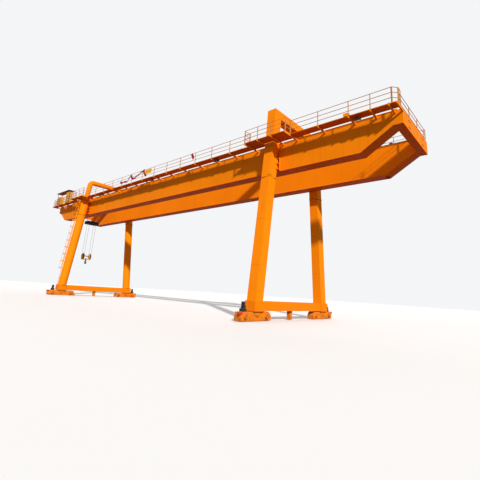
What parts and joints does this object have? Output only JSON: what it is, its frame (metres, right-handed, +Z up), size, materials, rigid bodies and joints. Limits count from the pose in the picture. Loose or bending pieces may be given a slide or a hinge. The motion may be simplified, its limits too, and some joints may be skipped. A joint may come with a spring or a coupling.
{
  "type": "half-size scale model of a double-girder gantry crane",
  "caption": "Rail-mounted double-girder gantry crane with cantilevered girders, a box-leg frame, a tube-leg frame, a trolley hoist, a walkway and a caged ladder.",
  "frame": {"origin": "on the ground under the middle of the girders, at the bottom centre of the bounding box", "axes": "+X along the girders towards the box-leg frame, -Y towards the walkway, +Z up"},
  "size_m": [24.358, 5.91, 7.52],
  "materials": {
    "girders": "weathered orange gloss",
    "portal": "orange gloss, lightly dusty",
    "steelwork": "orange satin",
    "railings": "dusty ochre",
    "rails": "worn and dark",
    "running_gear": "dark satin",
    "wheels": "worn bright treads",
    "buffers": "red satin",
    "cabinets": "tan satin",
    "roof": "dull brown",
    "lamps": "dark satin",
    "sign": "plain satin",
    "drum": "greased",
    "rope": "greased",
    "hook_paint": "yellow satin",
    "hook_steel": "forged"
  },
  "bodies": {
    "gantry": {"front_girder": "girders", "rear_girder": "girders", "end_ties": "girders", "trolley_rails": "rails", "rail_stops": "steelwork", "box_legs": "portal", "box_uprights": "portal", "box_saddle": "portal", "box_leg_brackets": "steelwork", "box_sill": "girders", "tube_legs": "portal", "tube_uprights": "portal", "tube_bends": "portal", "tube_saddle": "portal", "tube_leg_brackets": "steelwork", "tube_sill": "girders", "bogies": "steelwork", "travel_drives": "running_gear", "travel_buffers": "buffers", "storm_anchors": "steelwork", "walkway": "steelwork", "walkway_brackets": "steelwork", "front_railing": "railings", "rear_railing": "railings", "end_railings": "railings", "ladder": "steelwork", "ladder_cage": "steelwork", "switch_cabinets": "cabinets", "cabinet_roof": "roof", "floodlights": "lamps", "sign_plate": "sign"},
    "trolley": {"trolley_frame": "girders", "trolley_wheels": "wheels", "hoist_drum": "drum", "hoist_gearbox": "running_gear", "hoist_motor": "running_gear", "trolley_drive": "running_gear", "limit_weight": "running_gear", "drum_ropes": "rope", "anchor_ropes": "rope"},
    "hook_block": {"hook_block": "hook_paint", "block_sheaves": "drum", "hook": "hook_steel"},
    "wheel_bf1": {"wheel_bf1": "wheels"},
    "wheel_bf2": {"wheel_bf2": "wheels"},
    "wheel_br1": {"wheel_br1": "wheels"},
    "wheel_br2": {"wheel_br2": "wheels"},
    "wheel_tf1": {"wheel_tf1": "wheels"},
    "wheel_tf2": {"wheel_tf2": "wheels"},
    "wheel_tr1": {"wheel_tr1": "wheels"},
    "wheel_tr2": {"wheel_tr2": "wheels"}
  },
  "joints": [
    {"name": "trolley_travel", "type": "slide", "parent": "gantry", "child": "trolley", "axis": [1, 0, 0], "range_m": [-1.4, 20.3]},
    {"name": "hoist", "type": "slide", "parent": "trolley", "child": "hook_block", "axis": [0, 0, 1], "range_m": [-1.8, 2], "deforming": ["drum_ropes", "anchor_ropes"]},
    {"name": "travel_wheel_bf1", "type": "hinge", "parent": "gantry", "child": "wheel_bf1", "pos_m": [7.745, -1.6, 0.13], "axis": [1, 0, 0], "continuous": true},
    {"name": "travel_wheel_bf2", "type": "hinge", "parent": "gantry", "child": "wheel_bf2", "pos_m": [7.745, -2.64, 0.13], "axis": [1, 0, 0], "continuous": true},
    {"name": "travel_wheel_br1", "type": "hinge", "parent": "gantry", "child": "wheel_br1", "pos_m": [7.745, 1.6, 0.13], "axis": [1, 0, 0], "continuous": true},
    {"name": "travel_wheel_br2", "type": "hinge", "parent": "gantry", "child": "wheel_br2", "pos_m": [7.745, 2.64, 0.13], "axis": [1, 0, 0], "continuous": true},
    {"name": "travel_wheel_tf1", "type": "hinge", "parent": "gantry", "child": "wheel_tf1", "pos_m": [-7.255, -1.6, 0.13], "axis": [1, 0, 0], "continuous": true},
    {"name": "travel_wheel_tf2", "type": "hinge", "parent": "gantry", "child": "wheel_tf2", "pos_m": [-7.255, -2.64, 0.13], "axis": [1, 0, 0], "continuous": true},
    {"name": "travel_wheel_tr1", "type": "hinge", "parent": "gantry", "child": "wheel_tr1", "pos_m": [-7.255, 1.6, 0.13], "axis": [1, 0, 0], "continuous": true},
    {"name": "travel_wheel_tr2", "type": "hinge", "parent": "gantry", "child": "wheel_tr2", "pos_m": [-7.255, 2.64, 0.13], "axis": [1, 0, 0], "continuous": true}
  ]
}
